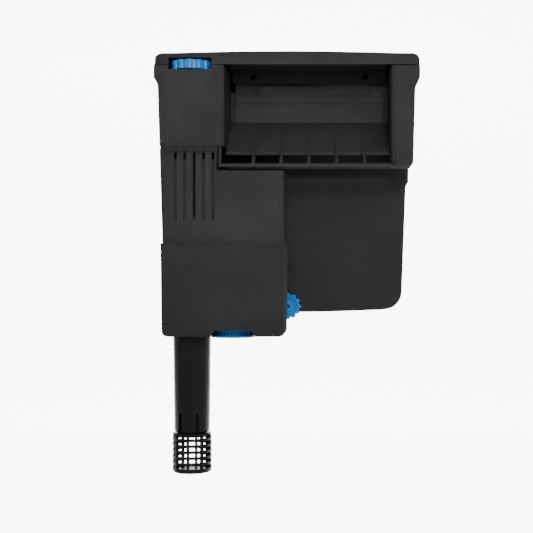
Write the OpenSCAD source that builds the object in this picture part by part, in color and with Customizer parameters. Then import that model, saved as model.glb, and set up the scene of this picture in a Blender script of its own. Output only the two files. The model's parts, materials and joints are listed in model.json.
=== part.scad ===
// Hang-on-back water filter: a case behind the tank wall, a spillway over the
// rim and a pump column with a telescopic intake in front of it.
// Frame: +X right seen from the tank, -Y into the tank, +Z up; the origin is the
// centre of the flat underside of the saddle that rests on the tank rim.

/* [Case] */
// Half width of the lid and the rim band
rim_half = 126.5; // [126:0.5:130]
// Height of the parting line between the case and the lid
rim_top = 66; // [66:1:70]
// Depth of the case behind the tank wall
case_depth = 106; // [104:1:120]
// Lowest point of the case
case_bottom = -171.6; // [-180:0.2:-170]
// Radius of the lower corners of the case
case_corner = 18; // [12:1:20]
// Thickness of the moulded walls
wall = 2.6; // [2.4:0.1:2.8]

/* [Tank rim] */
// Width of the slot that takes the tank wall
slot_w = 24; // [22:1:24]
// Thickness of the saddle over the rim
saddle_t = 3; // [2.5:0.5:3]
// Depth of the leg on the tank side of the slot
leg_drop = 29; // [26:1:30]

/* [Spillway] */
// Left side of the spillway opening
spill_x0 = -59.7; // [-60:0.1:-59.5]
// Right side of the spillway opening
spill_x1 = 98.6; // [96:0.2:99]
// Height of the crest under the weir panel
crest_z = 19.6; // [19:0.2:21]
// Top of the weir panel's tabs
weir_top = 57; // [54:1:57]
// Depth of the notches in the weir panel
weir_notch = 9; // [6:1:12]
// Distance between the fins under the spillway
fin_pitch = 26.4; // [24:0.2:27]
// Thickness of each fin
fin_t = 2.8; // [2:0.2:4]

/* [Pump column] */
// Front of the column head and of the cheek
head_front = -60; // [-60:0.5:-59]
// Front of the skimmer shroud
shroud_front = -68; // [-68:0.5:-67.5]
// Front of the pump cover
cover_front = -71; // [-72:0.5:-71]
// Underside of the column head
head_bottom = -11; // [-12:0.5:-10.5]
// Parting height of the shroud and the pump cover
column_split = -104.8; // [-105:0.1:-104.6]
// Underside of the pump cover
cover_bottom = -191.8; // [-192.4:0.2:-191.6]
// Height of the waves along the top of the pump cover
wave_h = 3.6; // [3:0.2:5]
// Length of one wave
wave_len = 25.8; // [25:0.1:26]
// Width of a skimmer slot
skim_w = 2.5; // [2:0.1:3]
// Distance between the skimmer slots
skim_pitch = 8.85; // [8.5:0.05:9]

/* [Intake] */
// Radius of the outer intake tube at its top
tube_r = 18; // [17.5:0.1:18.2]
// Radius of the bore that the extension slides in
tube_bore = 13.6; // [13.2:0.1:13.8]
// Lower end of the outer intake tube
tube_end = -284.6; // [-288:0.2:-280]
// Radius of the strainer
strainer_r = 18.9; // [18:0.1:19]
// Height of the strainer
strainer_h = 37.8; // [36:0.2:40]
// Number of slot rows in the strainer
strainer_rows = 6; // [5:1:6]

/* [Pump] */
// Radius of the impeller
impeller_r = 14; // [12:0.5:15]
// Radius of the rotor magnet
magnet_r = 9; // [8:0.25:9.2]
// Radius of the ceramic shaft
shaft_r = 1.25; // [1:0.05:1.5]
// Radial clearance of a running fit
fit = 0.06; // [0.04:0.01:0.08]

/* [Knobs] */
// Tip radius of the flow knob
flow_knob_r = 19.4; // [18.6:0.1:20]
// Flange radius of the intake dial
dial_r = 21.3; // [20:0.1:21.6]
// Tip radius of the leveling knob
level_knob_r = 13.1; // [12:0.1:13.5]
// Length of the shank of the leveling foot
foot_len = 27.4; // [24:0.2:28]

/* [Hidden] */
$fn = 64;

shell_colour = [0.2, 0.2, 0.205];
inner_colour = [0.16, 0.16, 0.165];
blue = [0.11, 0.52, 0.84];

eps = 0.1;
gap = 0.3;
slot_y = slot_w / 2;                 // half width of the rim slot
case_y0 = slot_y;
case_y1 = slot_y + case_depth;
side_x = 120;                        // half width of the upper case
band_y1 = case_y1 + 4.5;             // back of the rim band
chan_x1 = spill_x0 - wall;           // right side of the flow channel
chan_x0 = -side_x + wall;            // left side of the flow channel
cheek_x1 = 122;                      // outer face of the cheek at its top
flow_axis = [-92, -45.8];            // flow knob, valve and riser
pump_axis = [-52, -44];              // dial, impeller and motor
tube_axis = [-92.4, -40];            // intake tubes
column_back = -slot_y - 3.3;
basket = [[-56, 18, -148], [108, 106, 61]];
basket_wall = 2;
handle_y = 60;
handle_z = 50;
handle_arm = 40;
level_at = [-2, -165.5];             // leveling foot and knob, in X and Z
lid_z0 = rim_top + gap;
lid_front = head_front - 1;
lid_top = 78;                        // top of the lid at its sides
ceiling_z = 75.6;                    // underside of the lid's top
soffit_z = 69.5;                     // underside of the splash plate over the spillway
station = 22;                        // distance between the points along an arched edge
knob_cut = [-112.4, -71.6];           // gap in the front walls for the flow knob
indicator_at = [60, 40];
gland_y = 80;
rail_w = 5;
bridge_fall = (crest_z + 15) / (slot_y + 42);   // slope of the slab under the weir
valve_z = [8.3, 49];
riser_r = 11;
riser_bore = 9.06;
riser_end = -140;                    // lower end of the riser in the volute's socket
motor_half = 24.7;                   // half width of the motor housing
motor_y = [-65, -23];

// Points of a rounded rectangle at height l[0], from x l[1]..l[2] and y l[3]..l[4],
// with corner radius l[5] in front and l[6] behind
function ring(l, n) = [
    for (c = [[l[2] - l[6], l[4] - l[6], 0, l[6]], [l[1] + l[6], l[4] - l[6], 90, l[6]],
              [l[1] + l[5], l[3] + l[5], 180, l[5]], [l[2] - l[5], l[3] + l[5], 270, l[5]]])
    for (i = [0 : n])
    [c[0] + c[3] * cos(c[2] + 90 * i / n), c[1] + c[3] * sin(c[2] + 90 * i / n), l[0]]
];

// A closed solid through rounded rectangles, listed from the lowest up
module loft(levels, n = 6) {
    k = 4 * (n + 1);
    last = (len(levels) - 1) * k;
    polyhedron(
        points = [for (l = levels) each ring(l, n)],
        faces = concat(
            [[for (i = [0 : k - 1]) i]],
            [for (j = [0 : len(levels) - 2]) for (i = [0 : k - 1])
                [j * k + i, (j + 1) * k + i, (j + 1) * k + (i + 1) % k, j * k + (i + 1) % k]],
            [[for (i = [0 : k - 1]) last + k - 1 - i]]),
        convexity = 4);
}

// Height of a shallow arch of half width h, from 1 in the middle to 0 at its ends
function crown(x, h) = 1 - pow(min(abs(x), h) / h, 2);

// Points of a rounded rectangle whose front and back edges follow an arch. The level is
// [z, x0, x1, y0, y1, corner radius, arch height, half width], with 2 m + 1 points on each edge
function arched_ring(l, n, m) =
    let (corner = function (cx, cy, a) [for (i = [0 : n])
             [cx + l[5] * cos(a + 90 * i / n), cy + l[5] * sin(a + 90 * i / n)]],
         plan = concat(
             corner(l[2] - l[5], l[4] - l[5], 0), [for (j = [m : -1 : -m]) [j * station, l[4]]],
             corner(l[1] + l[5], l[4] - l[5], 90), corner(l[1] + l[5], l[3] + l[5], 180),
             [for (j = [-m : m]) [j * station, l[3]]], corner(l[2] - l[5], l[3] + l[5], 270)))
    [for (p = plan) [p[0], p[1], l[0] + l[6] * crown(p[0], l[7])]];

// A closed solid through such rings, listed from the lowest up, with its ends in strips
module arched_loft(levels, m, n = 6) {
    half = 2 * (n + 1) + 2 * m + 1;
    k = 2 * half;
    last = (len(levels) - 1) * k;
    polyhedron(
        points = [for (l = levels) each arched_ring(l, n, m)],
        faces = concat(
            [for (i = [0 : half - 2]) [i, i + 1, k - 2 - i, k - 1 - i]],
            [for (j = [0 : len(levels) - 2]) for (i = [0 : k - 1])
                [j * k + i, (j + 1) * k + i, (j + 1) * k + (i + 1) % k, j * k + (i + 1) % k]],
            [for (i = [0 : half - 2]) [last + k - 1 - i, last + k - 2 - i, last + i + 1, last + i]]),
        convexity = 4);
}

// A block between two opposite corners
module block(a, b) {
    translate(a) cube(b - a);
}

// An upright cylinder between two heights at a point in plan
module post(at, r, z0, z1) {
    translate([at[0], at[1], z0]) cylinder(r = r, h = z1 - z0);
}

// An upright tube between two heights
module pipe(at, r_out, r_in, z0, z1) {
    difference() {
        post(at, r_out, z0, z1);
        post(at, r_in, z0 - eps, z1 + eps);
    }
}

// A profile in the YZ plane drawn along X from x0 to x1
module along_x(points, x0, x1) {
    translate([x0, 0, 0]) rotate([90, 0, 90]) linear_extrude(x1 - x0) polygon(points);
}

// A profile in the XZ plane drawn along Y from y0 to y1
module along_y(points, y0, y1) {
    translate([0, y1, 0]) rotate([90, 0, 0]) linear_extrude(y1 - y0) polygon(points);
}

// A wedge of a disc, centred on angle mid, from z0 to z1
module sector(at, r, mid, half, z0, z1) {
    translate([at[0], at[1], z0]) linear_extrude(z1 - z0)
        polygon(concat([[0, 0]], [for (i = [-4 : 4]) r * [cos(mid + half * i / 4), sin(mid + half * i / 4)]]));
}

// A knob outline: a core with a ring of round lobes whose tips reach r
module lobed(r, lobes, lobe_r, h) {
    cylinder(r = r - lobe_r * 0.8, h = h);
    for (i = [0 : lobes - 1])
        rotate(i * 360 / lobes) translate([r - lobe_r, 0, 0]) cylinder(r = lobe_r, h = h, $fn = 24);
}

// ---- Case and bridge ----

// Levels of the rear case; inset moves every wall inward
function case_levels(inset, top) = concat(
    [for (a = [0 : 15 : 90])
        let (r = case_corner - inset, s = r * (1 - sin(a)), y = 8 * (1 - sin(a)))
        [case_bottom + 2.5 + inset + r * (1 - cos(a)), -113.3 + inset + s, 113.3 - inset - s,
         case_y0 + inset + y / 8, case_y1 - 6 - inset - y, 4, a < 90 ? -2.5 : 0, 95]],
    [for (l = concat([[-44.6, 117.3, case_y1 - 1], [-39.5, side_x, case_y1],
                      [-30, side_x, case_y1], [-10, 120.1, case_y1]], top))
        [l[0], -l[1] + inset, l[1] - inset, case_y0 + inset, l[2] - inset, 4, 0, 95]]);

module rear_case() {
    color(shell_colour) difference() {
        // the thick band along the rim swells outward over a chamfer
        arched_loft(case_levels(0, [[47, cheek_x1, case_y1 + 2], [54, rim_half, band_y1],
                                    [rim_top, rim_half, band_y1]]), 4);
        arched_loft(case_levels(wall, [[rim_top + 1, side_x, case_y1 + 2]]), 4);
        // spillway opening and flow channel through the front wall
        block([spill_x0, case_y0 - 1, crest_z], [spill_x1, case_y0 + wall + 1, rim_top + 2]);
        block([chan_x0, case_y0 - 1, saddle_t], [spill_x0 + 1, case_y0 + wall + 1, rim_top + 2]);
        // notch for the cord gland and bore for the leveling foot
        block([-rim_half - 5, gland_y - 5.6, 54.4], [chan_x0 + 5, gland_y + 5.6, rim_top + 2]);
        translate([level_at[0], case_y0 - 1, level_at[1]]) rotate([-90, 0, 0]) cylinder(r = 3 + fit, h = 5);
    }
}

// Partition between the inlet chamber and the media chamber
module chamber_divider() {
    y0 = case_y0 + wall + eps;
    y1 = case_y1 - wall - eps;
    color(shell_colour) along_x(
        [[y0, -150], [y1 - 6, -150], [y1 - 1, -44.6], [y1, -39.5], [y1, -10], [y1 + 1.6, 56],
         [case_y0 + eps, 56], [case_y0 + eps, saddle_t + eps], [y0, saddle_t + eps]], chan_x1, spill_x0);
}

// Two grooved rails that hold the weir panel, with their feet on the front wall
module weir_rails() {
    y1 = case_y0 + wall + 2.1;
    color(shell_colour) for (x = [spill_x0 + eps, spill_x1 - rail_w - eps]) {
        difference() {
            block([x, case_y0 - 2, crest_z], [x + rail_w, y1, 50]);
            block([spill_x0 + 2.5, case_y0 - 0.1, crest_z - 2], [spill_x1 - 2.2, case_y0 + wall - 0.1, 51]);
        }
        block([x, case_y0 + wall + eps, crest_z - 6], [x + rail_w, y1, crest_z + 0.2]);
    }
}

module basket_stands() {
    color(shell_colour) for (x = [-50, 90], y = [26, 90])
        block([x, y, case_bottom + wall + 0.2 + 2.5 * pow(max(-x, x + 8) / 95, 2)],
              [x + 8, y + 8, basket[0][2] - gap]);
}

// Blind socket behind the front wall for the shank of the leveling foot
module foot_boss() {
    y0 = case_y0 + wall + 1.1;
    color(shell_colour) difference() {
        intersection() {
            translate([level_at[0], y0, level_at[1]]) rotate([-90, 0, 0]) cylinder(r = 5, h = 21);
            block([level_at[0] - 9, y0 - 1, case_bottom + wall + 0.7], [level_at[0] + 9, y0 + 30, level_at[1] + 9]);
        }
        translate([level_at[0], y0 - 1, level_at[1]]) rotate([-90, 0, 0]) cylinder(r = 3 + fit, h = 19);
    }
}

module spillway_bridge() {
    color(shell_colour) along_x(
        [[slot_y, crest_z], [-42, -15], [-42, -18.4], [-slot_y - 3, crest_z - 3.6 - bridge_fall * (2 * slot_y + 3)],
         [-slot_y - 3, -leg_drop], [-slot_y, -leg_drop], [-slot_y, 0], [slot_y, 0], [slot_y, saddle_t],
         [slot_y - (crest_z - 3.6 - saddle_t) / bridge_fall, saddle_t], [slot_y, crest_z - 3.6]],
        spill_x0, spill_x1);
}

// Lip bar, the fins that carry it and a gusset at each end
module spillway_fins() {
    y0 = head_front - 2;
    color(shell_colour) {
        block([-64.8, y0, -31.3], [spill_x1 - eps, head_front + 2, -28]);
        block([spill_x1 - 1, y0, -31.3], [106.6, head_front + 2, -leg_drop - eps]);
        difference() {
            for (i = [-1 : 3])
                along_x([[0, 12.6], [-50, -18], [-59, -23.6], [-61.6, -25], [y0, -27], [y0, -31.3], [-54, -31.3],
                         [-38, -16], [-8, 3]],
                        fin_pitch * i - 5.6 - fin_t / 2, fin_pitch * i - 5.6 + fin_t / 2);
            // the slab, and the room under it
            along_x([[slot_y + 1, crest_z + bridge_fall + eps], [-42 - eps, -15 + eps], [-42 - eps, -18.4 - eps],
                     [-38, -16.2], [-38, -40], [slot_y + 1, -40]], spill_x0, spill_x1);
        }
        for (x = [-64.6, 103.8])
            along_x([[head_front - eps, -11.6], [y0, -27], [y0, -30], [head_front - eps, -30]], x, x + 2.6);
    }
}

// Hollow cheek on the right of the spillway
module right_cheek() {
    r = 5;
    color(shell_colour) difference() {
        intersection() {
            cheek_block(0, -leg_drop);
            along_y([[spill_x1, -leg_drop], [118.4, -leg_drop], [120, -27.4], [cheek_x1, 47],
                     [rim_half, 54], [rim_half, rim_top], [spill_x1, rim_top]], head_front - 1, slot_y);
        }
        // rounded upright edge beside the spillway
        translate([0, 0, -leg_drop - 1]) linear_extrude(rim_top + leg_drop + 3) difference() {
            translate([spill_x1 - 1, head_front - 1]) square(r + 1);
            translate([spill_x1 + r, head_front + r]) circle(r = r);
        }
        intersection() {
            cheek_block(wall, -leg_drop);
            block([spill_x1 + wall, head_front, -leg_drop], [119 - wall, slot_y + 1, rim_top + 1]);
        }
    }
}

// Side outline of the head and the cheek, pulled in by inset on every face
module cheek_block(inset, bottom) {
    along_x([[head_front + inset, rim_top + inset], [head_front + inset, bottom + inset],
             [-slot_y - inset, bottom + inset], [-slot_y - inset, inset],
             [slot_y + inset, inset], [slot_y + inset, rim_top + inset]], -rim_half, rim_half);
}

module column_head() {
    color(shell_colour) difference() {
        intersection() {
            cheek_block(0, head_bottom);
            along_y([[-120.9, head_bottom], [spill_x0, head_bottom], [spill_x0, rim_top],
                     [-rim_half, rim_top], [-rim_half, 54], [-cheek_x1 - 0.7, 47]], head_front - 1, slot_y);
            // plan with the rounded corner beside the spillway
            translate([0, 0, head_bottom - 1]) linear_extrude(100) union() {
                translate([-130, head_front]) square([130 + spill_x0 - 4, 80]);
                translate([-130, head_front + 4]) square([130 + spill_x0, 80]);
                translate([spill_x0 - 4, head_front + 4]) circle(r = 4);
            }
        }
        intersection() {
            cheek_block(wall, head_bottom);
            block([chan_x0, head_front, head_bottom], [chan_x1, slot_y + 1, rim_top + 5]);
        }
        // gap for the flow knob and bore for the riser
        block([knob_cut[0], head_front - 2, 61.8], [knob_cut[1], head_front + 4, rim_top + 1]);
        post(flow_axis, riser_r + 0.05, head_bottom - 1, 0);
    }
}

module channel_cover() {
    color(inner_colour) difference() {
        union() {
            block([chan_x0 + 0.2, head_front + wall + 0.2, 59], [chan_x1 - 0.2, slot_y - 0.4, 61.5]);
            post(flow_axis, 6, 55, 59);
        }
        post(flow_axis, 3 + fit, 54, 62);
    }
}

module weir_panel() {
    base = weir_top - weir_notch;
    color([0.26, 0.26, 0.265]) difference() {
        along_y([[-57, crest_z + 0.2], [96.2, crest_z + 0.2], [96.2, weir_top], [81, weir_top], [79.5, base],
                 [30.5, base], [30.5, weir_top - 2], [28.5, weir_top], [-30.5, weir_top], [-31.6, base],
                 [-57, base]], slot_y + 0.1, slot_y + 2.3);
        block([-57, slot_y, 39.2], [96.2, slot_y + 0.9, 40.2]);
    }
}

module cord_gland() {
    x0 = -rim_half - 1.6;
    color([0.12, 0.12, 0.12]) difference() {
        union() {
            block([x0, gland_y - 5.5, 54.5], [x0 + 10, gland_y + 5.5, rim_top - eps]);
            block([x0, gland_y - 7, 53], [x0 + 1.5, gland_y + 7, rim_top - eps]);
        }
        translate([x0 - 1, gland_y, 60]) rotate([0, 90, 0]) cylinder(r = 3.1, h = 12);
    }
}

// ---- Lid ----

// Levels of the lid: upright walls, then a rounded edge that follows the arch
lid_levels = concat(
    [[lid_z0, -rim_half, rim_half, lid_front, band_y1, 8, 0, 110]],
    [for (a = [0 : 18 : 90]) let (r = 6.6, s = r * (1 - cos(a)))
        [lid_top - r * (1 - sin(a)), -rim_half + s, rim_half - s, lid_front + s, band_y1 - s,
         8 - s, 1.8, 110]]);

module lid() {
    t = 2.4;
    peg_x = [-36, 76.5];
    color(shell_colour) {
        difference() {
            arched_loft(lid_levels, 5);
            loft([[lid_z0 - 1, -rim_half + t, rim_half - t, lid_front + t, band_y1 - t, 5.6, 5.6],
                  [lid_top - 6.6, -rim_half + t, rim_half - t, lid_front + t, band_y1 - t, 5.6, 5.6],
                  [ceiling_z, -rim_half + t + 3, rim_half - t - 3, lid_front + t + 3, band_y1 - t - 3,
                   2.6, 2.6]]);
            block([knob_cut[0], lid_front - 1, lid_z0 - 1], [knob_cut[1], lid_front + 4, 72.6]);
            translate([indicator_at[0] - 13.3, indicator_at[1] - 5.3, 60]) cube([26.6, 10.6, 30]);
        }
        // beam over the weir, notched under the two pegs, and the splash plate in front of it
        difference() {
            block([spill_x0 + 1.7, 9, 59.3], [spill_x1 - 1.6, 11.4, ceiling_z + 0.5]);
            for (x = peg_x) block([x - 3.4, 8, 63.6], [x + 2.2, 13, 68]);
        }
        block([spill_x0 + 1.7, lid_front + t - 0.5, soffit_z], [spill_x1 - 1.6, 9.5, soffit_z + 2]);
        for (x = peg_x) block([x - 1.6, 5, 68], [x + 1.6, 9.5, soffit_z + 1]);
        // locating skirt along the back
        block([-100, case_y1 - 4, 58], [100, case_y1 - 2.4, ceiling_z + 0.5]);
    }
}

module service_indicator() {
    color(blue) translate([indicator_at[0], indicator_at[1], 0]) {
        block([-12.5, -4.5, 63.9], [12.5, 4.5, lid_top + 2.3]);
        block([-15, -7, 63.9], [15, 7, 65.9]);
    }
}

// ---- Media basket ----

module media_basket() {
    a = basket[0];
    b = basket[1];
    w = basket_wall;
    ring_w = 9;
    color([0.22, 0.22, 0.225]) {
        difference() {
            block(a, b);
            block(a + [w, w, w], b + [-w, -w, 1]);
            block(a + [ring_w, ring_w, -1], [b[0] - ring_w, b[1] - ring_w, a[2] + w + 1]);
            // outlet slots behind the weir panel, and bores for the handle
            for (i = [0 : 9])
                block([a[0] + 10 + i * 14.8, a[1] - 1, 22], [a[0] + 21 + i * 14.8, a[1] + w + 1, 36]);
            translate([a[0] - 1, handle_y, handle_z]) rotate([0, 90, 0]) cylinder(r = 2 + fit, h = 200);
        }
        for (x = [-10, 26, 62]) block([x - 2, a[1] + 1, a[2]], [x + 2, b[1] - 1, a[2] + w]);
    }
}

module basket_grate() {
    x0 = basket[0][0] + basket_wall + 0.3;
    x1 = basket[1][0] - basket_wall - 0.3;
    y0 = basket[0][1] + basket_wall + 0.3;
    y1 = basket[1][1] - basket_wall - 0.3;
    z = basket[0][2] + basket_wall + 0.1;
    color(inner_colour) difference() {
        block([x0, y0, z], [x1, y1, z + 2]);
        for (i = [0 : 15])
            block([x0 + 6 + i * 9.4, y0 + 6, z - 1], [x0 + 11 + i * 9.4, y1 - 6, z + 3]);
    }
}

module basket_handle() {
    x0 = basket[0][0] + basket_wall + 0.5;
    x1 = basket[1][0] - basket_wall - 0.5;
    color(blue) {
        for (x = [x0, x1 - 4]) {
            block([x, handle_y - 4, handle_z - 2.5], [x + 4, handle_y + handle_arm, handle_z + 2.5]);
        }
        block([x0, handle_y + handle_arm - 6, handle_z - 2.5], [x1, handle_y + handle_arm, handle_z + 2.5]);
        for (s = [[x0 - 2.3, 2.6], [x1 - 0.3, 2.6]])
            translate([s[0], handle_y, handle_z]) rotate([0, 90, 0]) cylinder(r = 2, h = s[1]);
    }
}

module foam_pad() {
    color([0.1, 0.1, 0.11]) block([-52.5, 21.5, -143.4], [104.5, 102.5, -102]);
}

module media_bag() {
    color([0.85, 0.83, 0.78]) loft([for (l = [[-101, 8], [-94, 1], [-70, 0], [-48, 3], [-40, 14]])
        [l[0], -52 + l[1], 104 - l[1], 22 + l[1], 102 - l[1], 10, 10]], 4);
}

// ---- Flow control and riser ----

module flow_knob() {
    color(blue) difference() {
        translate([flow_axis[0], flow_axis[1], 62.5]) {
            lobed(flow_knob_r, 12, 3.3, 8.2);
            cylinder(r = 13, h = 8.6);
        }
        post(flow_axis, 3, 62, 68);
    }
}

module flow_valve() {
    color(inner_colour) {
        difference() {
            post(flow_axis, riser_bore - fit, valve_z[0], valve_z[1]);
            post(flow_axis, riser_bore - 1.8, valve_z[0] - 1, valve_z[1] - 3);
            sector(flow_axis, 20, 90, 45, 14, 42);
        }
        post(flow_axis, 3, valve_z[1] - 1, 68);
    }
}

module riser_pipe() {
    color(inner_colour) {
        difference() {
            pipe(flow_axis, riser_r, riser_bore, riser_end, 50);
            sector(flow_axis, 20, 90, 45, 14, 42);
        }
        // stop ring under the valve
        pipe(flow_axis, riser_bore + 0.5, riser_bore - 1.2, valve_z[0] - 2.3, valve_z[0] - 0.3);
    }
}

// ---- Skimmer ----

module skimmer_shroud() {
    step_x = -66;
    step_z = -35;
    shelf_z = -19.6;
    t = 2.4;
    color(shell_colour) {
        difference() {
            loft([[column_split + 0.3, -117.4, -3, shroud_front, column_back, 4, 1.2],
                  [head_bottom - 0.3, -120.2, -3.2, shroud_front, column_back, 4, 1.2]]);
            difference() {
                loft([[column_split - 1, -117.4 + t, -3 - t, shroud_front + t, column_back - t, 2, 0.5],
                      [head_bottom - 2.7, -120.2 + t, -3.2 - t, shroud_front + t, column_back - t, 2, 0.5]]);
                block([step_x - t, shroud_front, step_z - t], [0, column_back, 0]);
                shelf(t * 1.3);
            }
            // lower right-hand part and the sloped shelf over the slots
            block([step_x, shroud_front - 1, step_z], [0, column_back + 1, 0]);
            shelf(0);
            for (i = [0 : 4])
                block([-104.7 + i * skim_pitch - skim_w / 2, shroud_front - 1, -82],
                      [-104.7 + i * skim_pitch + skim_w / 2, shroud_front + 5, -15.6]);
            post(flow_axis, 11.3, -20, 0);
        }
        // tongue behind the wavy edge of the pump cover
        block([-112, shroud_front, -111], [-7.5, shroud_front + t, column_split + 1]);
    }
}

// Everything above the sloped shelf, lowered by t
module shelf(t) {
    along_x([[shroud_front - 1, -20.6 - t], [head_front, -12.2 - t], [head_front, 5], [shroud_front - 1, 5]],
            -130, 0);
}

module skimmer_baffle() {
    color([0.24, 0.24, 0.245]) {
        block([-112, shroud_front + 3.2, -80], [-91.6, shroud_front + 4.6, -24]);
        block([-82.2, shroud_front + 3.2, -80], [-68.8, shroud_front + 4.6, -24]);
        block([-112, shroud_front + 3.2, -84], [-68.8, shroud_front + 4.6, -79]);
    }
}

// ---- Pump column ----

// Drop of the wavy top edge at distance x from the middle of a wave
function wave_drop(x) = wave_h * pow(max(0, cos(90 * min(1, abs(x) * 2.7 / wave_len))), 1.4);

module pump_cover() {
    crest = column_split + 1.4;
    z0 = cover_bottom;
    t = 2.5;
    floor_z = z0 + t;
    r = 5;
    color(shell_colour) {
        difference() {
            union() {
                difference() {
                    loft(concat(
                        [for (a = [0 : 18 : 90]) let (s = r * (1 - sin(a)))
                            [z0 + r * (1 - cos(a)), -117.9 + s, -1.9 - s, cover_front + 0.5 + s * 0.7,
                             column_back - s * 0.7, 4, 1.2]],
                        [[crest, -118.9, -0.8, cover_front, column_back, 4, 1.2]]));
                    loft([[floor_z, -117.9 + t + 2, -1.9 - t - 2, cover_front + t + 1, column_back - t - 1, 3, 1],
                          [floor_z + 3, -117.9 + t, -1.9 - t, cover_front + t + 0.5, column_back - t, 2, 1],
                          [crest + 1, -118.9 + t, -0.8 - t, cover_front + t, column_back - t, 2, 1]]);
                    // sides and back end at the split, the front in waves
                    block([-130, cover_front + t, column_split], [0, 0, crest + 1]);
                    along_y(concat([[-130, crest + 1]],
                        [for (i = [0 : 98]) let (x = -113.6 + i * 1.1)
                            [x, crest - wave_drop((x + 99.4 + wave_len / 2 + wave_len * 4) % wave_len
                                                  - wave_len / 2)]],
                        [[0, crest + 1]]), cover_front - 1, cover_front + t + 0.1);
                }
                post(pump_axis, dial_r + 3.3, z0 + 0.5, z0 + 8.7);
                pipe(tube_axis, 17, 15.05, z0 + 1, z0 + 7);
            }
            // pocket and front notch for the intake dial, hole for the intake tube
            post(pump_axis, dial_r + 1.1, z0 - 1, z0 + 6.5);
            post(pump_axis, 4 + fit, z0, z0 + 10);
            along_y([[-73.2, z0 - 1], [-67.5, z0 + 6.2], [-33.7, z0 + 6.2], [-28, z0 - 1]],
                    cover_front - 1, pump_axis[1]);
            post(tube_axis, 15.05, z0 - 1, z0 + 10);
        }
        // divider between the tube side and the skimmer side under the shutter
        for (y = [[cover_front + 2, pump_axis[1] - 4.5], [pump_axis[1] + 4.5, column_back - 1]])
            block([pump_axis[0] - 1, y[0], z0 + 8.6], [pump_axis[0] + 1, y[1], -176.5]);
    }
}

module intake_dial() {
    color(blue) {
        translate([pump_axis[0], pump_axis[1], cover_bottom - 1.4]) {
            cylinder(r = dial_r, h = 1.8);
            lobed(16.8, 26, 1.6, 7.6);
        }
        post(pump_axis, 4, cover_bottom + 5.8, -176);
    }
}

module intake_shutter() {
    color(inner_colour) difference() {
        post(pump_axis, 20, -176, -172.4);
        for (mid = [180, -90]) difference() {
            sector(pump_axis, 18, mid, 42, -177, -172);
            post(pump_axis, 6, -178, -171);
        }
    }
}

module intake_manifold() {
    color(inner_colour) {
        difference() {
            union() {
                post(pump_axis, 22, -172, -160);
                block([-112, -66, -172], [pump_axis[0], -20, -169.5]);
            }
            post(pump_axis, 20.4, -169.5, -159);
            for (mid = [180, 0]) difference() {
                sector(pump_axis, 18, mid, 42, -173, -168);
                post(pump_axis, 5, -174, -167);
            }
        }
        pipe(pump_axis, 22, 7.5, -160.1, -158);
    }
}

module volute_housing() {
    duct_z = -150.2;
    color(inner_colour) {
        difference() {
            union() {
                post(pump_axis, 21, -158, -141.4);
                post(flow_axis, 13.6, -158, riser_end + 14);
                translate([flow_axis[0], flow_axis[1], duct_z]) rotate([0, 90, 0]) cylinder(r = 7.8, h = 26);
            }
            post(pump_axis, 17, -155.5, -140);
            post(flow_axis, riser_r + fit, -156, riser_end + 15);
            translate([flow_axis[0], flow_axis[1], duct_z]) rotate([0, 90, 0]) cylinder(r = 5.8, h = 26);
            post(pump_axis, 7.5, -159, -150);
            pipe(pump_axis, 20, 18, -143.2, -140);
        }
        // spider that carries the front bush
        pipe(pump_axis, 4.4, 3, -158, -155.5);
        for (a = [30, 150, 270])
            translate([pump_axis[0], pump_axis[1], -158]) rotate(a) translate([4, -0.9, 0]) cube([4, 1.8, 2.5]);
    }
}

module volute_seal() {
    color([0.1, 0.1, 0.1]) translate([pump_axis[0], pump_axis[1], -142.3])
        rotate_extrude() translate([19, 0]) circle(r = 0.85, $fn = 24);
}

module impeller() {
    color([0.8, 0.8, 0.8]) difference() {
        union() {
            post(pump_axis, impeller_r, -146, -144.4);
            post(pump_axis, 4, -154, -141);
            for (i = [0 : 5])
                translate([pump_axis[0], pump_axis[1], -154]) rotate(i * 60)
                    translate([3.4, -0.8, 0]) cube([impeller_r - 4, 1.6, 8.4]);
        }
        post(pump_axis, shaft_r + fit, -155, -140);
    }
}

module rotor_magnet() {
    color([0.3, 0.3, 0.32]) pipe(pump_axis, magnet_r, shaft_r + fit, -141, -115);
}

module impeller_shaft() {
    color([0.93, 0.93, 0.9]) post(pump_axis, shaft_r, -157.4, -110.8);
}

module front_bush() {
    color([0.1, 0.1, 0.1]) pipe(pump_axis, 3, shaft_r, -158, -155.2);
}

module rear_bush() {
    color([0.1, 0.1, 0.1]) pipe(pump_axis, 4.5, shaft_r, -113.2, -110.6);
}

module motor_housing() {
    color([0.12, 0.12, 0.125]) {
        difference() {
            motor_block(0, -141.3, -88);
            motor_block(1.8, -139.3, -87);
            post(pump_axis, magnet_r + 0.6, -143, -120);
        }
        pipe(pump_axis, magnet_r + 2.2, magnet_r + 0.6, -139.5, -108.6);
        post(pump_axis, magnet_r + 2.2, -110.5, -108.5);
    }
}

// The motor's outline in plan, pulled in by inset, between two heights
module motor_block(inset, z0, z1) {
    block([pump_axis[0] - motor_half + inset, motor_y[0] + inset, z0],
          [pump_axis[0] + motor_half - inset, motor_y[1] - inset, z1]);
}

module motor_cap() {
    color([0.12, 0.12, 0.125]) {
        motor_block(0, -87.9, -86);
        pipe([-36, -32], 5, 3, -86.1, -82);
    }
}

module stator_core() {
    x0 = pump_axis[0] - motor_half + 2.2;
    x1 = pump_axis[0] + motor_half - 2.2;
    color([0.5, 0.5, 0.52]) difference() {
        union() {
            block([x0, -54, -134], [x1, -34, -118]);
            for (x = [x0, x1 - 11.6]) block([x, -54, -137], [x + 11.6, -34, -95]);
            block([x0, -54, -103], [x1, -34, -95]);
        }
        post(pump_axis, magnet_r + 2.3, -140, -108.4);
        block([-54, -60, -138], [-50, -30, -110]);
    }
}

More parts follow.
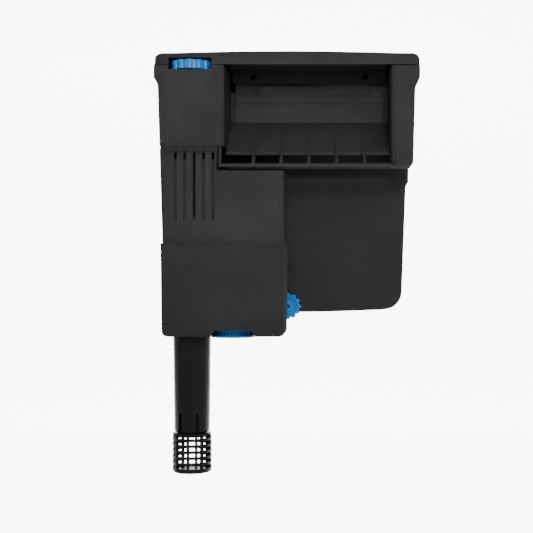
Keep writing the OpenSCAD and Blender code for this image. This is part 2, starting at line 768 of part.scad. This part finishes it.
module stator_coil() {
    color([0.72, 0.4, 0.15]) difference() {
        block([-61.5, -59, -107.5], [-42.5, -29, -90.5]);
        block([-63, -54.1, -103.1], [-41, -33.9, -94.9]);
    }
}

// ---- Intake ----

module intake_tube() {
    color([0.15, 0.145, 0.15]) difference() {
        union() {
            intersection() {
                union() {
                    translate([tube_axis[0], tube_axis[1], tube_end + 1.6])
                        cylinder(r1 = 17, r2 = tube_r, h = cover_bottom - tube_end - 1.6);
                    translate([tube_axis[0], tube_axis[1], tube_end])
                        cylinder(r1 = 15.1, r2 = 17, h = 1.6);
                }
                // flats on the front and the back
                block([tube_axis[0] - 20, tube_axis[1] - 15.6, tube_end - 1],
                      [tube_axis[0] + 20, tube_axis[1] + 15.6, cover_bottom + 1]);
            }
            post(tube_axis, 15, cover_bottom - 1, -183);
        }
        post(tube_axis, tube_bore, tube_end - 1, -182);
        // finger slots that let the lower end grip the extension
        for (side = [0, 180], x = [-9.6, 6.4])
            translate([tube_axis[0], tube_axis[1], tube_end - 1]) rotate(side)
                translate([x - 1.3, -19, 0]) cube([2.6, 12, 19.4]);
    }
}

module extension_tube() {
    color([0.15, 0.145, 0.15]) pipe(tube_axis, tube_bore - 0.08, 11.8, tube_end - 4.5, -200);
}

module strainer() {
    top = tube_end - 0.6;
    low = top - strainer_h;
    pitch = 5.74;
    slot_h = 3.3;
    ribs = 8;
    color([0.12, 0.12, 0.125]) {
        difference() {
            union() {
                translate([tube_axis[0], tube_axis[1], low])
                    cylinder(r1 = strainer_r - 1.4, r2 = strainer_r, h = 1.6);
                post(tube_axis, strainer_r, low + 1.6, top - 1.1);
                translate([tube_axis[0], tube_axis[1], top - 1.1])
                    cylinder(r1 = strainer_r, r2 = strainer_r - 1.1, h = 1.1);
            }
            post(tube_axis, strainer_r - 2.2, low + 2.6, top - 3);
            post(tube_axis, tube_bore - 0.08, top - 4.4, top + 1);
            for (i = [0 : strainer_rows - 1])
                pipe(tube_axis, strainer_r + 1, strainer_r - 3, top - 1.3 - slot_h - i * pitch,
                     top - 1.3 - i * pitch);
        }
        // the first rib stands a little to the left of the front
        for (i = [0 : ribs - 1]) translate([tube_axis[0], tube_axis[1], low + 2]) rotate(i * 360 / ribs - 96)
            translate([strainer_r - 3.4, -1.1, 0]) cube([3.2, 2.2, strainer_h - 4]);
    }
}

// ---- Leveling device ----

module leveling_foot() {
    color([0.12, 0.45, 0.72]) translate([level_at[0], 0, level_at[1]]) rotate([90, 0, 0]) difference() {
        translate([0, 0, -2.6 - foot_len]) cylinder(r = 2.98, h = foot_len);
        translate([0, 0, -7]) cylinder(r = 2.1, h = 6);
    }
}

module leveling_knob() {
    color(blue) translate([level_at[0], case_y0 - 0.6, level_at[1]]) rotate([90, 0, 0]) difference() {
        union() {
            lobed(level_knob_r, 12, 2.4, 6.4);
            translate([0, 0, 1]) cylinder(r = 10.6, h = 7);
        }
        translate([0, 0, 5.4]) difference() {
            cylinder(r = 9.6, h = 4);
            translate([0, 0, -1]) cylinder(r = 5.6, h = 6);
        }
        translate([0, 0, -1]) cylinder(r = 3 + fit, h = 11);
    }
}

rear_case();
chamber_divider();
weir_rails();
basket_stands();
foot_boss();
spillway_bridge();
spillway_fins();
right_cheek();
column_head();
channel_cover();
weir_panel();
cord_gland();
lid();
service_indicator();
media_basket();
basket_grate();
basket_handle();
foam_pad();
media_bag();
flow_knob();
flow_valve();
riser_pipe();
skimmer_shroud();
skimmer_baffle();
pump_cover();
intake_dial();
intake_shutter();
intake_manifold();
volute_housing();
volute_seal();
impeller();
rotor_magnet();
impeller_shaft();
front_bush();
rear_bush();
motor_housing();
motor_cap();
stator_core();
stator_coil();
intake_tube();
extension_tube();
strainer();
leveling_foot();
leveling_knob();
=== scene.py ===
"""Looks of the hang-on-back water filter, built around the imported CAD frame. Metres."""
import json
import math

import bmesh
import bpy
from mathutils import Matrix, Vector, noise
from mathutils.bvhtree import BVHTree


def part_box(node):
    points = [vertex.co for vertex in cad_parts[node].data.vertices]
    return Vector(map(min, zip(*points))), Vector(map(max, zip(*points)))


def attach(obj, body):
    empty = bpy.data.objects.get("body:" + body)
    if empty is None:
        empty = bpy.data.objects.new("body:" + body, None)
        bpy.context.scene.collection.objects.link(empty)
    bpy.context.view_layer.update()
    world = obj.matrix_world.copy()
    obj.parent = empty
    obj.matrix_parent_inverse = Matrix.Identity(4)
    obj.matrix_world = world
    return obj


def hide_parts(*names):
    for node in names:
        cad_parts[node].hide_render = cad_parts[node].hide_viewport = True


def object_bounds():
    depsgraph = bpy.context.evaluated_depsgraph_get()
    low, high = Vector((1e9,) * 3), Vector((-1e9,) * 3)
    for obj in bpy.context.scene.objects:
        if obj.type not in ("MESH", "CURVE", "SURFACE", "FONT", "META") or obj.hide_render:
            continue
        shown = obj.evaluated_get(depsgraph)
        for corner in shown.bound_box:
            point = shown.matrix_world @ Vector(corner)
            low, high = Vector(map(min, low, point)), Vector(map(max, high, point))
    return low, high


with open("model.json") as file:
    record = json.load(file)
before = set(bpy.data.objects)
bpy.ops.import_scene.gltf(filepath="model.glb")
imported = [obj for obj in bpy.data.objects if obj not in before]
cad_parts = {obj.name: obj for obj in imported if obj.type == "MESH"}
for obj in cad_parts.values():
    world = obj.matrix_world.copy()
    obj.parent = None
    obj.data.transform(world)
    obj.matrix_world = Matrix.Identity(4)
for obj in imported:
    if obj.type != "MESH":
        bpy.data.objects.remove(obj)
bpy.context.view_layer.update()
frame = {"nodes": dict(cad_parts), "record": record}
nodes = frame["nodes"]
MM = 0.001

# ---------------------------------------------------------------- camera and stage

CAMERA_AT = Vector((0.0465, -1.130, -0.1255))
LENS_MM = 76.2
SHIFT_X = -0.1303
GLOW = 7.5  # emission strength of the backdrop behind the object

# Name, place, aim, width and height, power in watts and, for a narrow one, spread in degrees
LIGHTS = [
    ("front", (0.85, -2.35, 1.3), (0, 0, -0.05), (1.5, 1.7), 29),
    ("low_front", (0.3, -2.4, -0.7), (0, 0, -0.02), (1.6, 0.5), 7),
    ("spillway_fill", (0.04, -0.8, 0.16), (0.025, 0, 0.01), (0.3, 0.12), 0.2, 45),
    ("key", (1.9, -1.3, 0.3), (0, 0, -0.1), (0.8, 1.6), 4),
    ("left_strip", (-1.5, -0.9, -0.1), (-0.09, -0.04, -0.2), (0.3, 1.2), 1.5),
    ("top", (0.1, -0.1, 1.5), (0, 0, 0), (1.0, 1.0), 4),
    ("rear", (-1.2, 1.5, 0.9), (0, 0.06, -0.1), (0.8, 0.8), 3),
]


def make_camera():
    data = bpy.data.cameras.new("camera")
    data.lens = LENS_MM
    data.sensor_width = 36
    data.shift_x = SHIFT_X
    data.clip_end = 20
    camera = bpy.data.objects.new("camera", data)
    camera.location = CAMERA_AT
    camera.rotation_euler = (math.radians(90), 0, 0)
    bpy.context.scene.collection.objects.link(camera)
    bpy.context.scene.camera = camera


def make_light(name, place, aim, size, power, spread=180):
    data = bpy.data.lights.new(name, "AREA")
    data.shape = "RECTANGLE"
    data.size, data.size_y = size
    data.energy = power
    data.spread = math.radians(spread)
    light = bpy.data.objects.new(name, data)
    light.location = place
    light.rotation_euler = (Vector(aim) - Vector(place)).to_track_quat("-Z", "Y").to_euler()
    bpy.context.scene.collection.objects.link(light)


def backdrop_material():
    """Pale matt paper that glows only behind the object, fading out to the sides, above and in front."""
    g = Graph("studio_paper")
    g.shader.inputs["Base Color"].default_value = (0.8, 0.8, 0.8, 1)
    g.shader.inputs["Roughness"].default_value = 0.9
    g.shader.inputs["Emission Color"].default_value = (1, 1, 1, 1)
    axes = g.add("ShaderNodeSeparateXYZ")
    g.link(g.place, axes.inputs[0])
    aside = g.add("ShaderNodeMath", operation="ABSOLUTE")
    g.link(axes.outputs["X"], aside.inputs[0])
    glow = g.span(aside.outputs[0], 1.0, 1.7, GLOW, 0.5)
    for value, low, high, start, end in ((axes.outputs["Z"], 0.8, 1.6, 1, 0.1),
                                         (axes.outputs["Y"], 0.05, 0.36, 0, 1)):
        product = g.add("ShaderNodeMath", operation="MULTIPLY")
        g.link(glow, product.inputs[0])
        g.link(g.span(value, low, high, start, end), product.inputs[1])
        glow = product.outputs[0]
    g.link(glow, g.shader.inputs["Emission Strength"])
    return g.material


def make_stage():
    """A pale floor that curves up into a backdrop behind the object."""
    floor_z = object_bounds()[0][2] - 0.16
    half, front, back, bend, top = 3.0, -3.0, 2.5, 1.0, 3.0
    outline = [(front, floor_z), (back - bend, floor_z)]
    for i in range(1, 13):
        angle = math.radians(90 * i / 12)
        outline.append((back - bend + bend * math.sin(angle), floor_z + bend * (1 - math.cos(angle))))
    outline.append((back, top))
    mesh = bpy.data.meshes.new("studio_floor")
    points = [(x, y, z) for y, z in outline for x in (-half, half)]
    faces = [(2 * i, 2 * i + 1, 2 * i + 3, 2 * i + 2) for i in range(len(outline) - 1)]
    mesh.from_pydata(points, [], faces)
    mesh.materials.append(backdrop_material())
    for face in mesh.polygons:
        face.use_smooth = True
    floor = bpy.data.objects.new("studio_floor", mesh)
    bpy.context.scene.collection.objects.link(floor)


def make_lights():
    world = bpy.data.worlds.new("studio")
    world.use_nodes = True
    world.node_tree.nodes["Background"].inputs["Color"].default_value = (1, 1, 1, 1)
    world.node_tree.nodes["Background"].inputs["Strength"].default_value = 0.3
    bpy.context.scene.world = world
    for light in LIGHTS:
        make_light(*light)


# ---------------------------------------------------------------- materials

def srgb(*rgb):
    """Linear colour from 0-255 sRGB values."""
    linear = [(v / 255 / 12.92) if v <= 10 else ((v / 255 + 0.055) / 1.055) ** 2.4 for v in rgb]
    return (*linear, 1)


class Graph:
    """A small helper around one material's nodes."""

    def __init__(self, name):
        self.material = bpy.data.materials.new(name)
        self.material.use_nodes = True
        self.tree = self.material.node_tree
        self.shader = self.tree.nodes["Principled BSDF"]
        self.place = self.add("ShaderNodeTexCoord").outputs["Object"]

    def add(self, kind, **settings):
        node = self.tree.nodes.new(kind)
        for key, value in settings.items():
            setattr(node, key, value)
        return node

    def link(self, a, b):
        self.tree.links.new(a, b)

    def noise(self, size, detail=3.0, rough=0.5, stretch=None):
        """Noise with features about size metres across; returns the factor output."""
        node = self.add("ShaderNodeTexNoise")
        node.inputs["Scale"].default_value = 1 / size
        node.inputs["Detail"].default_value = detail
        node.inputs["Roughness"].default_value = rough
        source = self.place
        if stretch:
            mapping = self.add("ShaderNodeMapping")
            mapping.inputs["Scale"].default_value = stretch
            self.link(self.place, mapping.inputs["Vector"])
            source = mapping.outputs["Vector"]
        self.link(source, node.inputs["Vector"])
        return node.outputs["Fac"]

    def span(self, value, low, high, out_low, out_high):
        node = self.add("ShaderNodeMapRange")
        for key, number in (("From Min", low), ("From Max", high), ("To Min", out_low), ("To Max", out_high)):
            node.inputs[key].default_value = number
        self.link(value, node.inputs["Value"])
        return node.outputs["Result"]

    def mix(self, amount, a, b):
        node = self.add("ShaderNodeMix", data_type="RGBA")
        for value, socket in ((amount, node.inputs["Factor"]), (a, node.inputs[6]), (b, node.inputs[7])):
            if isinstance(value, (int, float, tuple)):
                socket.default_value = value
            else:
                self.link(value, socket)
        return node.outputs[2]

    def bump(self, height, strength, depth, under=None):
        node = self.add("ShaderNodeBump")
        node.inputs["Strength"].default_value = strength
        node.inputs["Distance"].default_value = depth
        self.link(height, node.inputs["Height"])
        if under is not None:
            self.link(under, node.inputs["Normal"])
        return node.outputs["Normal"]

    def edges(self, low=0.52, high=0.62):
        """Painted highlight: bright on convex edges, from the pointiness of the mesh."""
        geometry = self.add("ShaderNodeNewGeometry")
        return self.span(geometry.outputs["Pointiness"], low, high, 0, 1)


def moulded(name, colour, roughness, grain=0.00045, relief=0.00004, edge_highlight_gain=1.35, shade=0.08,
            gleam=0.0):
    """Moulded plastic: spark-eroded grain, slow tone drift, and a painted highlight that lightens convex
    edges.
    """
    g = Graph(name)
    drift = g.noise(0.05, 4)
    base = g.mix(g.span(drift, 0.35, 0.65, 0, 1),
                 tuple(c * (1 - shade) for c in colour[:3]) + (1,),
                 tuple(c * (1 + shade) for c in colour[:3]) + (1,))
    speck = g.noise(0.0016, 2)
    base = g.mix(g.span(speck, 0.55, 0.8, 0, 0.35), base, tuple(min(1, c * 1.25) for c in colour[:3]) + (1,))
    # painted highlight: convex edges are mixed towards a lighter copy of the colour
    edge_highlight_tone = tuple(min(1, c * edge_highlight_gain) for c in colour[:3]) + (1,)
    base = g.mix(g.span(g.edges(), 0, 1, 0, 0.6), base, edge_highlight_tone)
    g.link(base, g.shader.inputs["Base Color"])
    g.shader.inputs["Specular IOR Level"].default_value = gleam
    g.link(g.span(g.noise(0.012, 5, 0.6), 0.3, 0.7, roughness - 0.05, roughness + 0.06),
           g.shader.inputs["Roughness"])
    fine = g.bump(g.noise(grain, 2), 0.35, relief)
    g.link(g.bump(g.noise(0.02, 2), 0.12, 0.0004, fine), g.shader.inputs["Normal"])
    return g.material


def gloss_blue():
    """Smooth blue polypropylene with a soft inner glow, fine flow marks and a painted highlight on convex
    edges.
    """
    g = Graph("blue_polypropylene")
    colour = srgb(0, 122, 206)
    deep = srgb(0, 112, 186)
    tone = g.mix(g.span(g.noise(0.006, 3, 0.5, (1, 1, 0.25)), 0.35, 0.7, 0, 0.7), colour, deep)
    # painted highlight: convex edges are mixed towards a paler blue
    tone = g.mix(g.span(g.edges(), 0, 1, 0, 0.55), tone, srgb(4, 156, 236))
    g.link(tone, g.shader.inputs["Base Color"])
    g.link(g.span(g.noise(0.004, 3), 0.3, 0.7, 0.3, 0.42), g.shader.inputs["Roughness"])
    g.shader.inputs["Subsurface Weight"].default_value = 0.12
    g.shader.inputs["Subsurface Radius"].default_value = (0.3, 0.6, 1.0)
    g.shader.inputs["Subsurface Scale"].default_value = 0.0015
    g.link(g.bump(g.noise(0.0007, 2), 0.15, 0.00003), g.shader.inputs["Normal"])
    return g.material


def rubber():
    g = Graph("black_rubber")
    g.link(g.mix(g.span(g.noise(0.004, 4), 0.3, 0.7, 0, 1), srgb(22, 22, 23), srgb(34, 34, 35)),
           g.shader.inputs["Base Color"])
    g.shader.inputs["Roughness"].default_value = 0.75
    g.link(g.bump(g.noise(0.0005, 3), 0.3, 0.00005), g.shader.inputs["Normal"])
    return g.material


def foam():
    """Open-cell filter foam: matt strands, with painted shade darkening the cells between them."""
    g = Graph("open_cell_foam")
    cells = g.add("ShaderNodeTexVoronoi", feature="DISTANCE_TO_EDGE")
    cells.inputs["Scale"].default_value = 1 / 0.0016
    g.link(g.place, cells.inputs["Vector"])
    strand_over_pore_shade = g.span(cells.outputs["Distance"], 0.03, 0.16, 1, 0)
    # painted shade: the cell interiors are dark and the strands lighter, and the same mask also drives the
    # strand relief
    g.link(g.mix(strand_over_pore_shade, srgb(14, 14, 15), srgb(62, 62, 64)), g.shader.inputs["Base Color"])
    g.shader.inputs["Roughness"].default_value = 0.95
    g.shader.inputs["Sheen Weight"].default_value = 0.2
    g.link(g.bump(strand_over_pore_shade, 0.9, 0.0008), g.shader.inputs["Normal"])
    return g.material


def mesh_fabric():
    """Woven net of the media bag, with the pale media showing between its threads."""
    g = Graph("media_net")
    wave = []
    for axis in ("X", "Y"):
        node = g.add("ShaderNodeTexWave", bands_direction=axis)
        node.inputs["Scale"].default_value = 95
        node.inputs["Distortion"].default_value = 1.2
        node.inputs["Detail Scale"].default_value = 2
        g.link(g.place, node.inputs["Vector"])
        wave.append(g.span(node.outputs["Fac"], 0.6, 0.85, 0, 1))
    thread = g.add("ShaderNodeMath", operation="MAXIMUM")
    g.link(wave[0], thread.inputs[0])
    g.link(wave[1], thread.inputs[1])
    stone = g.mix(g.span(g.noise(0.004, 4, 0.7), 0.35, 0.65, 0, 1), srgb(176, 168, 150), srgb(222, 216, 202))
    g.link(g.mix(thread.outputs[0], stone, srgb(238, 238, 236)), g.shader.inputs["Base Color"])
    g.shader.inputs["Roughness"].default_value = 0.85
    g.shader.inputs["Sheen Weight"].default_value = 0.3
    g.link(g.bump(thread.outputs[0], 0.6, 0.0005), g.shader.inputs["Normal"])
    return g.material


def metal(name, colour, roughness, lines):
    """Laminated or wound metal, with lines that far apart across Z."""
    g = Graph(name)
    wave = g.add("ShaderNodeTexWave", bands_direction="Z")
    wave.inputs["Scale"].default_value = 0.31 / lines
    g.link(g.place, wave.inputs["Vector"])
    g.link(g.mix(wave.outputs["Fac"], tuple(c * 0.55 for c in colour[:3]) + (1,), colour),
           g.shader.inputs["Base Color"])
    g.shader.inputs["Metallic"].default_value = 1.0
    g.link(g.span(g.noise(0.003, 4), 0.3, 0.7, roughness - 0.08, roughness + 0.1),
           g.shader.inputs["Roughness"])
    g.link(g.bump(wave.outputs["Fac"], 0.5, 0.0002), g.shader.inputs["Normal"])
    return g.material


MATERIALS = {
    "shell_plastic": moulded("charcoal_shell", srgb(54, 54, 55), 0.55),
    "inner_plastic": moulded("black_inner", srgb(46, 46, 47), 0.5),
    "panel_plastic": moulded("grey_panel", srgb(62, 62, 63), 0.5),
    "basket_plastic": moulded("basket_grey", srgb(66, 67, 68), 0.45),
    "tube_plastic": moulded("tube_black", srgb(36, 35, 36), 0.34, relief=0.00002, gleam=0.05),
    "white_plastic": moulded("rotor_white", srgb(214, 214, 210), 0.35, edge_highlight_gain=1.1),
    "blue_plastic": gloss_blue(),
    "rubber_black": rubber(),
    "filter_foam": foam(),
    "media_mesh": mesh_fabric(),
    "shaft_ceramic": moulded("white_ceramic", srgb(236, 235, 228), 0.18, edge_highlight_gain=1.02),
    "magnet_ferrite": moulded("ferrite", srgb(70, 70, 74), 0.3, edge_highlight_gain=1.6),
    "core_steel": metal("core_laminations", srgb(150, 150, 155), 0.38, 0.0008),
    "coil_copper": metal("coil_winding", srgb(196, 112, 62), 0.35, 0.0006),
}
SLOT_OF = {entry["node"]: entry["material_slot"] for entry in frame["record"]["subparts"]}


# ---------------------------------------------------------------- CAD parts

# Edge rounding of each CAD part, in millimetres; the rest get EDGE_MM
EDGE_MM = 0.35
EDGES = {"lid": 0.6, "rear_case": 0.8, "column_head": 1.0, "right_cheek": 1.0, "spillway_bridge": 0.8,
         "spillway_fins": 0.5, "skimmer_shroud": 0.7,
         "pump_cover": 0.6, "weir_panel": 0.5, "flow_knob": 0.6, "intake_dial": 0.45, "leveling_knob": 0.5,
         "intake_tube": 0.6, "basket_handle": 1.0}


def finish_cad_part(name):
    """Round a CAD part's edges with modifiers and give it its slot's material."""
    part = nodes[name]
    part.data.materials.clear()
    part.data.materials.append(MATERIALS[SLOT_OF[name]])
    weld = part.modifiers.new("weld", "WELD")
    weld.merge_threshold = 0.00001
    flat = part.modifiers.new("flat", "DECIMATE")
    flat.decimate_type = "DISSOLVE"
    flat.angle_limit = math.radians(0.6)
    bevel = part.modifiers.new("edge", "BEVEL")
    bevel.width = EDGES.get(name, EDGE_MM) * MM
    bevel.segments = 3
    bevel.limit_method = "ANGLE"
    bevel.angle_limit = math.radians(32)
    bevel.use_clamp_overlap = True
    bevel.harden_normals = False
    normal = part.modifiers.new("shade", "WEIGHTED_NORMAL")
    normal.keep_sharp = False
    normal.weight = 80
    for face in part.data.polygons:
        face.use_smooth = True


# ---------------------------------------------------------------- soft pieces

CLOTH_FRAMES = 20  # frames of pressure that swell the media bag


def new_piece(name, mesh_or_bm, material):
    """Put a mesh in the scene under that name with one material."""
    mesh = mesh_or_bm
    if isinstance(mesh_or_bm, bmesh.types.BMesh):
        mesh = bpy.data.meshes.new(name)
        mesh_or_bm.normal_update()
        mesh_or_bm.to_mesh(mesh)
        mesh_or_bm.free()
    mesh.materials.clear()
    mesh.materials.append(MATERIALS[material])
    piece = bpy.data.objects.new(name, mesh)
    bpy.context.scene.collection.objects.link(piece)
    for face in mesh.polygons:
        face.use_smooth = True
    return piece


def grid_box(low, high, step):
    """A closed box whose faces are grids of about step metres."""
    bm = bmesh.new()
    counts = [max(2, round((high[i] - low[i]) / step)) for i in range(3)]
    made = {}

    def corner(*cell):
        if cell not in made:
            made[cell] = bm.verts.new([low[i] + (high[i] - low[i]) * cell[i] / counts[i] for i in range(3)])
        return made[cell]

    for axis in range(3):
        u, v = [i for i in range(3) if i != axis]
        for side in (0, counts[axis]):
            for i in range(counts[u]):
                for j in range(counts[v]):
                    cells = []
                    for di, dj in ((0, 0), (1, 0), (1, 1), (0, 1)):
                        cell = [0, 0, 0]
                        cell[axis], cell[u], cell[v] = side, i + di, j + dj
                        cells.append(corner(*cell))
                    bm.faces.new(cells)
    bmesh.ops.recalc_face_normals(bm, faces=bm.faces)
    return bm


def round_corners(bm, low, high, radius):
    """Pull a box's points in so that its edges and corners are round."""
    inner_low = Vector(low) + Vector((radius,) * 3)
    inner_high = Vector(high) - Vector((radius,) * 3)
    for vert in bm.verts:
        core = Vector([min(max(vert.co[i], inner_low[i]), inner_high[i]) for i in range(3)])
        out = vert.co - core
        if sum(abs(c) > 1e-6 for c in out) > 1:
            vert.co = core + out.normalized() * radius


def make_foam():
    """The coarse foam block: soft corners, a faint crown and open cells in relief."""
    low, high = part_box("foam_pad")
    bm = grid_box(low, high, 0.0016)
    round_corners(bm, low, high, 0.0035)
    bm.normal_update()
    centre = (low + high) / 2
    half = (high - low) / 2
    for vert in bm.verts:
        at = (vert.co - centre)
        reach = max(0.0, 1 - (at.x / half.x) ** 4) * max(0.0, 1 - (at.y / half.y) ** 4)
        sag = 0.0016 * (1 - reach) if abs(at.z) > half.z * 0.9 else 0.0
        pores = noise.voronoi(vert.co / 0.0034)[0]
        cell = 0.0011 * max(0.0, 0.55 - pores[0]) / 0.55
        drift = 0.0005 * noise.noise(vert.co / 0.018)
        vert.co -= vert.normal * (0.0004 + cell + abs(drift))
        vert.co.z -= math.copysign(sag, at.z)
    piece = new_piece("foam_block", bm, "filter_foam")
    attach(piece, "basket")
    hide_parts("foam_pad")


def inflate(piece, low, high, cap):
    """Swell a closed mesh with cloth pressure, keeping each point within cap of its start."""
    start = [v.co.copy() for v in piece.data.vertices]
    cloth = piece.modifiers.new("cloth", "CLOTH")
    cloth.settings.quality = 5
    cloth.settings.mass = 0.3
    cloth.settings.tension_stiffness = 12
    cloth.settings.compression_stiffness = 12
    cloth.settings.bending_stiffness = 0.4
    cloth.settings.use_pressure = True
    cloth.settings.uniform_pressure_force = 4
    cloth.settings.effector_weights.gravity = 0
    cloth.point_cache.frame_end = CLOTH_FRAMES
    scene = bpy.context.scene
    for step in range(1, CLOTH_FRAMES + 1):
        scene.frame_set(step)
    ready = piece.evaluated_get(bpy.context.evaluated_depsgraph_get())
    moved = [v.co.copy() for v in ready.data.vertices]
    piece.modifiers.remove(cloth)
    scene.frame_set(1)
    for vert, old, new in zip(piece.data.vertices, start, moved):
        push = new - old
        if push.length > cap:
            push *= cap / push.length
        vert.co = [min(max((old + push)[i], low[i]), high[i]) for i in range(3)]


def make_media_bag():
    """A net bag of porous media: swollen by cloth simulation, then lumped by the stones inside."""
    low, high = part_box("media_bag")
    margin = Vector((0.006, 0.006, 0.006))
    bm = grid_box(low + margin, high - margin, 0.008)
    round_corners(bm, low + margin, high - margin, 0.014)
    piece = new_piece("media_net_bag", bm, "media_mesh")
    remesh = piece.modifiers.new("even", "REMESH")
    remesh.mode = "VOXEL"
    remesh.voxel_size = 0.005
    ready = piece.evaluated_get(bpy.context.evaluated_depsgraph_get())
    even = bpy.data.meshes.new_from_object(ready)
    piece.modifiers.clear()
    piece.data = even
    inflate(piece, low + Vector((0.001,) * 3), high - Vector((0.001,) * 3), 0.006)
    bm = bmesh.new()
    bm.from_mesh(piece.data)
    bmesh.ops.subdivide_edges(bm, edges=bm.edges, cuts=1, use_grid_fill=True, smooth=0.4)
    bmesh.ops.smooth_vert(bm, verts=bm.verts, factor=0.5, use_axis_x=True, use_axis_y=True, use_axis_z=True)
    bm.normal_update()
    seam_z = (low.z + high.z) / 2 + 0.012
    for vert in bm.verts:
        stones = noise.voronoi(vert.co / 0.011)[0]
        lump = 0.0022 * (0.75 - min(0.75, stones[0] * 1.3))
        pinch = 0.0018 * math.exp(-(((vert.co.z - seam_z) / 0.003) ** 2))
        vert.co += vert.normal * (lump - 0.0012 - pinch)
        vert.co = [min(max(vert.co[i], low[i] + 0.0003), high[i] - 0.0003) for i in range(3)]
    bm.normal_update()
    bm.to_mesh(piece.data)
    tree = BVHTree.FromBMesh(bm)
    bm.free()
    for face in piece.data.polygons:
        face.use_smooth = True
    piece.data.materials.clear()
    piece.data.materials.append(MATERIALS["media_mesh"])
    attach(piece, "basket")
    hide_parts("media_bag")
    make_bag_seam(tree, low, high, seam_z)


def make_bag_seam(tree, low, high, seam_z):
    """The sewn tape around the bag, laid on its surface."""
    centre = Vector(((low.x + high.x) / 2, (low.y + high.y) / 2, seam_z))
    count, tape = 160, 0.0035
    bm = bmesh.new()
    rings = []
    for i in range(count):
        angle = 2 * math.pi * i / count
        ray = Vector((math.cos(angle) * (high.x - low.x), math.sin(angle) * (high.y - low.y), 0)).normalized()
        hit = tree.ray_cast(centre + ray * 0.2, -ray)[0] or centre + ray * 0.03
        out = Vector([hit[0], hit[1], seam_z])
        wobble = 0.0003 * math.sin(i * 1.9)
        outline = [(-0.0004, -tape / 2), (0.0006, -tape / 2 + wobble), (0.0009, 0),
                   (0.0006, tape / 2 + wobble), (-0.0004, tape / 2)]
        rings.append([bm.verts.new(out + ray * r + Vector((0, 0, z))) for r, z in outline])
    for i in range(count):
        here, there = rings[i], rings[(i + 1) % count]
        for j in range(len(here)):
            k = (j + 1) % len(here)
            bm.faces.new((here[j], there[j], there[k], here[k]))
    bmesh.ops.recalc_face_normals(bm, faces=bm.faces)
    seam = new_piece("media_bag_seam", bm, "rubber_black")
    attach(seam, "basket")


make_camera()
make_stage()
make_lights()
for part_name in nodes:
    finish_cad_part(part_name)
make_foam()
make_media_bag()
